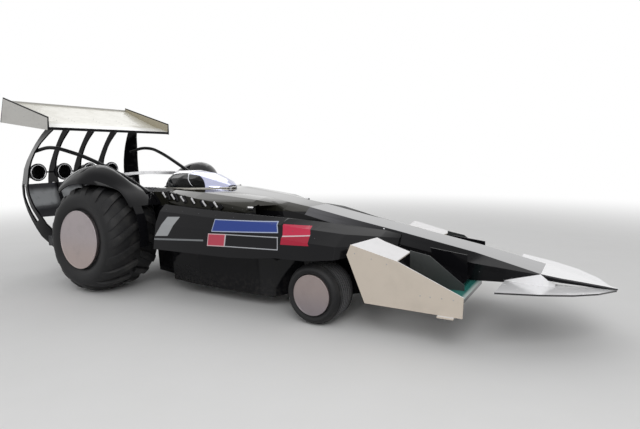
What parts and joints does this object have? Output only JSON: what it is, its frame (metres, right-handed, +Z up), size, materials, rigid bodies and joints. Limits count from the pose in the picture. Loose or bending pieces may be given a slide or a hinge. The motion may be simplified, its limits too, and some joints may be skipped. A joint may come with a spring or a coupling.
{
  "type": "open wheel show car",
  "caption": "Low black arrow shaped show car with huge rear tyres, small front wheels, a side plated front wing and a high rear wing on curved fins.",
  "frame": {"origin": "on the ground under the middle of the car's length", "axes": "+X to the nose, +Y to the car's left, +Z up"},
  "size_m": [7.81, 2.51, 2.5919],
  "materials": {
    "black_gloss": "gloss black paint",
    "brushed_aluminium": "satin aluminium sheet",
    "cast_metal": "cast metal",
    "dark_steel": "dark coated steel",
    "polished_metal": "polished lip with a dark inside",
    "seat_fabric": "dark trim cloth",
    "silver_paint": "silver paint",
    "tinted_glass": "smoked glazing",
    "tyre": "dull black rubber"
  },
  "bodies": {
    "chassis": {"canards": "brushed_aluminium", "canopy_hinge": "dark_steel", "cowl": "black_gloss", "dashboard": "black_gloss", "engine_block": "cast_metal", "fender_left": "black_gloss", "fender_right": "black_gloss", "front_end_plates": "brushed_aluminium", "front_fences": "black_gloss", "front_lower_arms": "dark_steel", "front_pod_left": "black_gloss", "front_pod_right": "black_gloss", "front_pylons": "black_gloss", "front_upper_arms": "dark_steel", "front_wing_flaps": "black_gloss", "front_wing_planes": "brushed_aluminium", "gills": "black_gloss", "nose_blade": "brushed_aluminium", "nose_cone": "black_gloss", "rear_axle": "dark_steel", "rear_dampers": "dark_steel", "rear_frame": "dark_steel", "rear_trailing_arms": "dark_steel", "roof_rail": "silver_paint", "seat": "seat_fabric", "side_hoops": "black_gloss", "side_lamps": "polished_metal", "side_pod_left": "black_gloss", "side_pod_right": "black_gloss", "steering_wheel": "dark_steel", "tail_panels": "brushed_aluminium", "tail_ribs": "black_gloss", "trumpet_stays": "dark_steel", "trumpets": "polished_metal", "tub": "black_gloss", "wing_end_plates": "brushed_aluminium", "wing_plane": "brushed_aluminium"},
    "wheel_rear_left": {"tyre_rear_left": "tyre", "wheel_rear_left": "brushed_aluminium"},
    "wheel_front_left": {"tyre_front_left": "tyre", "wheel_front_left": "brushed_aluminium"},
    "knuckle_left": {"knuckle_left": "dark_steel"},
    "wheel_rear_right": {"tyre_rear_right": "tyre", "wheel_rear_right": "brushed_aluminium"},
    "wheel_front_right": {"tyre_front_right": "tyre", "wheel_front_right": "brushed_aluminium"},
    "knuckle_right": {"knuckle_right": "dark_steel"},
    "canopy": {"canopy_frame": "silver_paint", "canopy_glass": "tinted_glass"},
    "steering_rack": {"steering_rack": "dark_steel"}
  },
  "joints": [
    {"name": "rear_wheel_spin_left", "type": "hinge", "parent": "chassis", "child": "wheel_rear_left", "pos_m": [-1.875, 0.86, 0.685], "axis": [0, 1, 0], "continuous": true},
    {"name": "steer_left", "type": "hinge", "parent": "chassis", "child": "knuckle_left", "pos_m": [1.275, 0.6, 0.307], "axis": [0, 0, 1], "range_deg": [-25, 25]},
    {"name": "front_wheel_spin_left", "type": "hinge", "parent": "knuckle_left", "child": "wheel_front_left", "pos_m": [1.275, 0.685, 0.307], "axis": [0, 1, 0], "continuous": true},
    {"name": "rear_wheel_spin_right", "type": "hinge", "parent": "chassis", "child": "wheel_rear_right", "pos_m": [-1.875, -0.86, 0.685], "axis": [0, 1, 0], "continuous": true},
    {"name": "steer_right", "type": "hinge", "parent": "chassis", "child": "knuckle_right", "pos_m": [1.275, -0.6, 0.307], "axis": [0, 0, 1], "range_deg": [-25, 25]},
    {"name": "front_wheel_spin_right", "type": "hinge", "parent": "knuckle_right", "child": "wheel_front_right", "pos_m": [1.275, -0.685, 0.307], "axis": [0, 1, 0], "continuous": true},
    {"name": "canopy_lift", "type": "hinge", "parent": "chassis", "child": "canopy", "pos_m": [-0.427, 0, 1.2973], "axis": [0, 1, 0], "range_deg": [0, 50]},
    {"name": "rack_slide", "type": "slide", "parent": "chassis", "child": "steering_rack", "axis": [0, 1, 0], "range_m": [-0.0371, 0.0371]}
  ],
  "couplings": [
    {"joint": "steer_right", "follows": "steer_left", "ratio": 1},
    {"joint": "rack_slide", "follows": "steer_left", "m_per_rad": -0.085}
  ]
}
